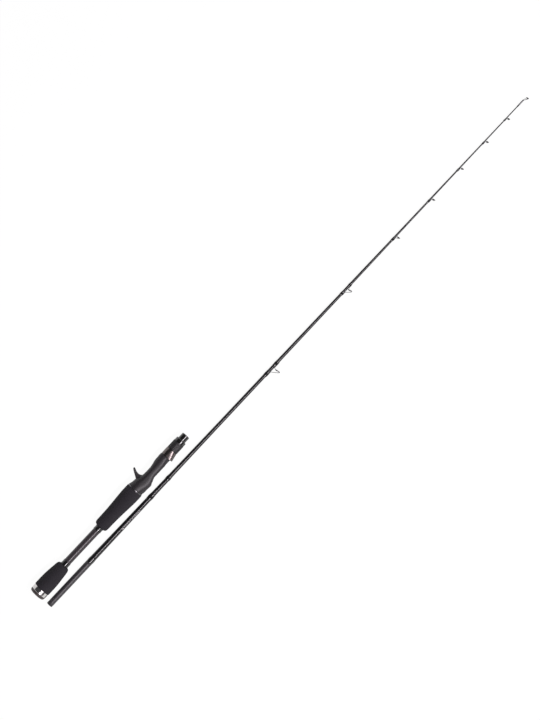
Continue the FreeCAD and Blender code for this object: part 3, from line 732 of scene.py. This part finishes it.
# Guides: feet are (toe, heel) in mm along the blank, ring is (position, height from the
# blank's axis, outside radius, hole radius, lean in degrees), wire is half a leg's width.
GUIDES = (
    dict(feet=((616.4, 629.7), (655.6, 642.3)), ring=(641.0, 12.2, 5.4, 3.7, 10), wire=0.65),
    dict(feet=((835.5, 843.4), (864.2, 856.7)), ring=(853.4, 8.0, 4.4, 2.95, 17), wire=0.6),
    dict(feet=((981.2, 989.4),), ring=(994.1, 6.2, 3.6, 2.35, 12), wire=0.5),
    dict(feet=((1084.3, 1092.1),), ring=(1095.6, 5.7, 3.4, 2.15, 12), wire=0.5),
    dict(feet=((1167.8, 1174.8),), ring=(1178.4, 5.1, 3.1, 1.95, 12), wire=0.45),
    dict(feet=((1239.9, 1246.9),), ring=(1250.3, 4.9, 3.0, 1.85, 14), wire=0.45),
    dict(feet=((1302.6, 1308.7),), ring=(1311.8, 4.4, 2.8, 1.7, 16), wire=0.42))
TIP_RING = (1366.6, 3.5, 2.8, 1.65, 15)
INSERT_WALL, INSERT_THICK, FRAME_THICK = 0.62, 2.1, 1.5
FOOT_WIDTH = 1.5


def ring_space(ring):
    """Placing on a leaning ring's own axis: x along it, y away from the blank."""
    x0, height, _, _, lean = ring
    c, s = math.cos(math.radians(lean)), math.sin(math.radians(lean))
    return lambda x, y, z: ON_BLANK(x0 + x * c - y * s, -height + x * s + y * c, z)


def rim_point(ring, turn, back=0.0, out=0.0):
    """A point on the ring's rim, in mm from the blank's butt: turn 0 is furthest from it."""
    x0, height, radius, _, lean = ring
    a, t = math.radians(lean), math.radians(turn)
    away = (radius + out) * math.cos(t)
    return Vector((x0 + away * math.sin(a) - back * math.cos(a),
                   -height - away * math.cos(a) - back * math.sin(a),
                   (radius + out) * math.sin(t)))


def add_frame_ring(build, ring):
    """Add the pressed ring of a frame, which holds the ceramic ring."""
    outer, inner, t = ring[2], ring[3] + INSERT_WALL, FRAME_THICK / 2
    band = rounded(((-t, inner), (-t, outer), (t, outer), (t, inner)), 0.32, 5)
    add_turned(build, band, ring_space(ring), 64)


def add_foot(build, toe, heel):
    """Flat foot, thin and narrow at the toe, that lies on the blank."""
    way = 1 if heel > toe else -1
    long = abs(heel - toe)
    top = blank_radius(min(toe, heel)) + 0.02
    path, widths = [], []
    for along, thick, share in ((0.0, 0.16, 0.45), (1.2, 0.3, 0.8), (3.2, 0.5, 1.0),
                                (long, 0.5, 1.0), (long + 1.2, 0.5, 0.92)):
        path.append(Vector((toe + way * along, -top - thick / 2, 0)))
        widths.append((FOOT_WIDTH * share, thick))
    add_swept(build, path, widths)


def add_leg(build, ring, wire, foot, side, turn, front):
    """Add a wire from a foot's heel to the ring's rim, on one side of the guide.

    A rear leg comes up behind the rim at that turn; a front leg runs straight to it."""
    toe, heel = foot
    way = 1 if heel > toe else -1
    y = -(blank_radius(min(toe, heel)) + 0.1 + wire)
    root = Vector((heel + way * 0.2, y, side * 0.2))
    knee = Vector((heel + way * 0.95, y - 0.05, side * 0.28))
    rim = rim_point(ring, side * turn, 0.0, -0.15)
    if front:
        path = curve_through([root, knee, (knee + rim) / 2 + Vector((0.15, 0, 0)), rim], 6)
    else:
        behind = rim_point(ring, side * turn, INSERT_THICK / 2 + wire + 0.1, 0.05)
        path = curve_through([root, knee, behind, rim], 8)
    add_swept(build, path, [(wire * 2.1, wire * 1.5)] * len(path))


def make_guide(number, guide):
    """A frame: its ring, and one foot behind it, or one on each side, with two legs each."""
    build = bmesh.new()
    add_frame_ring(build, guide["ring"])
    rear_turn = 42 if len(guide["feet"]) == 2 else 78
    for i, foot in enumerate(guide["feet"]):
        add_foot(build, *foot)
        for side in (1, -1):
            add_leg(build, guide["ring"], guide["wire"], foot, side, 150 if i else rear_turn,
                    front=i > 0)
    piece = remeshed(finish_mesh(f"guide_frame_{number}_pressed", build), 0.11, 3)
    dress(piece, GUIDE_METAL, "blank", "guide_metal", f"guide_frame_{number}")


def insert_outline(hole):
    """Section of a ceramic ring: a small flat land in the hole, and full round lips."""
    t, seat = INSERT_THICK / 2, hole + INSERT_WALL
    return rounded(((-t, hole + 0.1), (-t, seat), (t, seat), (t, hole + 0.1), (0.45, hole),
                    (-0.45, hole)), 0.22, 5)


def make_ring(name, node, ring):
    piece = turned(name, insert_outline(ring[3]), ring_space(ring), 64)
    dress(piece, CERAMIC, "blank", "dark_ceramic", node)


def hump_over_foot(low, high, toe_end):
    """A ripple that raises a wrap along the foot under it, from the wrap's toe end up."""
    def humped(x, angle, radius):
        if radius < blank_radius(x):
            return radius
        off = abs(math.atan2(math.sin(angle - math.pi), math.cos(angle - math.pi)))
        reach = max(0.5, math.radians(62) * min(1.0, 2.6 / blank_radius(x)))
        across = 0.5 + 0.5 * math.cos(math.pi * min(1.0, off / reach))
        rise = min(1.0, max(0.0, abs(x - toe_end) - 1.2) / 3.0)
        fall = min(1.0, max(0.0, (x - low) / 0.9), max(0.0, (high - x) / 0.9))
        return radius + 0.52 * across * rise * fall
    return humped


def make_guide_wrap(number, guide):
    """Thread over each foot and 2 mm past its toe, with a hump along the foot."""
    build, spans = bmesh.new(), []
    for toe, heel in guide["feet"]:
        toe_end = toe - 2.0 if heel > toe else toe + 2.0
        low, high = min(toe_end, heel), max(toe_end, heel)
        spans.append((low, high))
        add_turned(build, epoxy_wrap(low, high, 0.33, 1.2), ON_BLANK, 72,
                   hump_over_foot(low, high, toe_end))
    piece = finish_mesh(f"guide_wrap_{number}_epoxy", build)
    dress(piece, THREAD, "blank", "wrap_epoxy", f"guide_wrap_{number}")
    gloss_ends(piece, *spans)


def make_tip():
    """Tip-top: a tube over the blank's end, and a ring on three wires."""
    start, end, wire = TIP_WRAP[1], BLANK_END + 2.5, 0.5
    bore, seat = 1.1, BLANK_END + 0.2
    build = bmesh.new()
    tube = [(start, bore), (start, 1.34), (start + 0.3, 1.45), (end - 0.6, 1.45),
            (end - 0.1, 1.1), (end, 0.6), (end, 0.0), (seat, 0.0), (seat, bore)]
    add_turned(build, tube, ON_BLANK, 48)
    add_frame_ring(build, TIP_RING)
    for turn, y, z in ((75, -0.6, 0.75), (-75, -0.6, -0.75), (180, 0.5, 0.0)):
        root = Vector((end - 1.6, y, z))
        knee = Vector((end + 0.2, y * 1.05, z * 1.15))
        behind = rim_point(TIP_RING, turn, INSERT_THICK / 2 + wire + 0.1)
        path = curve_through([root, knee, behind, rim_point(TIP_RING, turn, 0.0, -0.1)], 8)
        add_swept(build, path, [(wire * 2, wire * 1.8)] * len(path))
    piece = remeshed(finish_mesh("tip_top_wire", build), 0.1, 3)
    dress(piece, GUIDE_METAL, "blank", "guide_metal", "tip_top_frame")
    make_ring("tip_top_insert", "tip_top_ring", TIP_RING)


# Rows of dashes: start and end in mm along the blank, then the middle and the width round it
# in degrees from its top, and the dashes' pitch in mm.
DASH_ROWS = ((207.0, 210.0, -34, 22.0, 9.0), (212.5, 230.0, -31, 13.0, 4.1),
             (234.0, 247.0, -40, 11.0, 4.6), (247.5, 257.0, -33, 16.0, 3.9))
DASH_GAP = 1.7


def add_dash(build, start, end, middle, width):
    """Add a curved patch that lies just on the blank: lengths in mm, and angles in degrees."""
    rows = []
    for k in range(4):
        x = start + (end - start) * k / 3
        radius = blank_radius(x) + 0.015
        turns = [math.radians(middle + width * (step / 4 - 0.5)) for step in range(5)]
        rows.append([build.verts.new(ON_BLANK(x, radius * math.sin(a), radius * math.cos(a)))
                     for a in turns])
    for one, two in zip(rows, rows[1:]):
        for k in range(4):
            build.faces.new((one[k], two[k], two[k + 1], one[k + 1]))


def make_marks():
    """Plain printed dashes on the blank, in place of the maker's lettering."""
    build = bmesh.new()
    for low, high, middle, width, pitch in DASH_ROWS:
        x = low
        while x < high:
            add_dash(build, x, min(x + pitch - DASH_GAP, high), middle, width)
            x += pitch
    piece = finish_mesh("printed_dashes", build)
    piece.data.materials.append(INK)
    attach(piece, "blank")


# ---- studio -----------------------------------------------------------------------------------
CAMERA_TURN = math.radians(-46.8)    # about the vertical
VIEW_HIGH = 1.4112                   # metres seen from the bottom of the picture to its top
CAMERA_AWAY = 4.5
FLOOR_SIDES = 96


def make_camera():
    """Straight above the rod, and far enough away for the photo's weak perspective."""
    aim = Vector((BLANK_BUTT + 0.6466, BLANK_AXIS[0] + 0.0133, 0.010))
    data = bpy.data.cameras.new("studio_camera")
    data.sensor_fit = "VERTICAL"
    data.sensor_height = 24.0
    data.lens = data.sensor_height / VIEW_HIGH * CAMERA_AWAY
    data.clip_start, data.clip_end = 0.01, 50
    camera = bpy.data.objects.new("studio_camera", data)
    bpy.context.scene.collection.objects.link(camera)
    camera.location = aim + Vector((0, 0, CAMERA_AWAY))
    camera.rotation_euler = (0, 0, CAMERA_TURN)
    bpy.context.scene.camera = camera


def softbox(name, size, place, power):
    """A rectangular light that faces the origin."""
    data = bpy.data.lights.new(name, "AREA")
    data.shape = "RECTANGLE"
    data.size, data.size_y = size
    data.energy = power
    data.color = (1.0, 0.94, 0.985)
    light = bpy.data.objects.new(name, data)
    bpy.context.scene.collection.objects.link(light)
    light.location = place
    light.rotation_euler = (-Vector(place)).to_track_quat("-Z", "Y").to_euler()


def make_floor():
    """A round white table that turns up into a low wall all the way round."""
    build = bmesh.new()
    turns = [2 * math.pi * k / FLOOR_SIDES for k in range(FLOOR_SIDES)]
    loops = [[build.verts.new((r * math.cos(a), r * math.sin(a), z)) for a in turns]
             for r, z in ((1.0, 0), (3.0, 0), (8.6, 0), (8.85, 0.1), (8.95, 0.3), (9.0, 2.7))]
    build.faces.new(loops[0])
    for one, two in zip(loops, loops[1:]):
        for k in range(FLOOR_SIDES):
            build.faces.new((one[k - 1], one[k], two[k], two[k - 1]))
    floor = finish_mesh("studio_floor", build, smooth=False)
    n = Nodes("lit_table", Specular_IOR_Level=0.1)
    n.shader.inputs["Emission Color"].default_value = (1, 1, 1, 1)
    n.shader.inputs["Emission Strength"].default_value = 0.965
    tone = n.noise(n.where(), 6.0, 2.0)
    floor.data.materials.append(n.paint(n.ramp(tone, (0.2, 0.04), (0.8, 0.044)), 0.9))


def make_studio():
    """Floor, a long strip light and a wide soft one beside the rod, and a dim room."""
    make_floor()
    softbox("strip_light", (2.8, 0.3), (0.0, -0.95, 1.85), 60)
    softbox("bank_light", (2.8, 1.7), (0.0, -1.1, 1.95), 10)
    world = bpy.data.worlds.new("studio_world")
    world.use_nodes = True
    background = world.node_tree.nodes["Background"]
    background.inputs["Color"].default_value = (0.9, 0.92, 0.95, 1)
    background.inputs["Strength"].default_value = 0.07
    bpy.context.scene.world = world
    view = bpy.context.scene.view_settings
    view.view_transform, view.look = "Standard", "None"
    view.exposure = 0.0


make_grips()
make_butt_cap()
make_trim_rings()
make_checks()
make_tube()
make_seat()
make_nut()
make_blank()
make_spigot()
make_trim_wraps()
for number, guide in enumerate(GUIDES, 1):
    make_guide(number, guide)
    make_ring(f"guide_insert_{number}", f"guide_ring_{number}", guide["ring"])
    make_guide_wrap(number, guide)
make_tip()
make_marks()
make_camera()
make_studio()
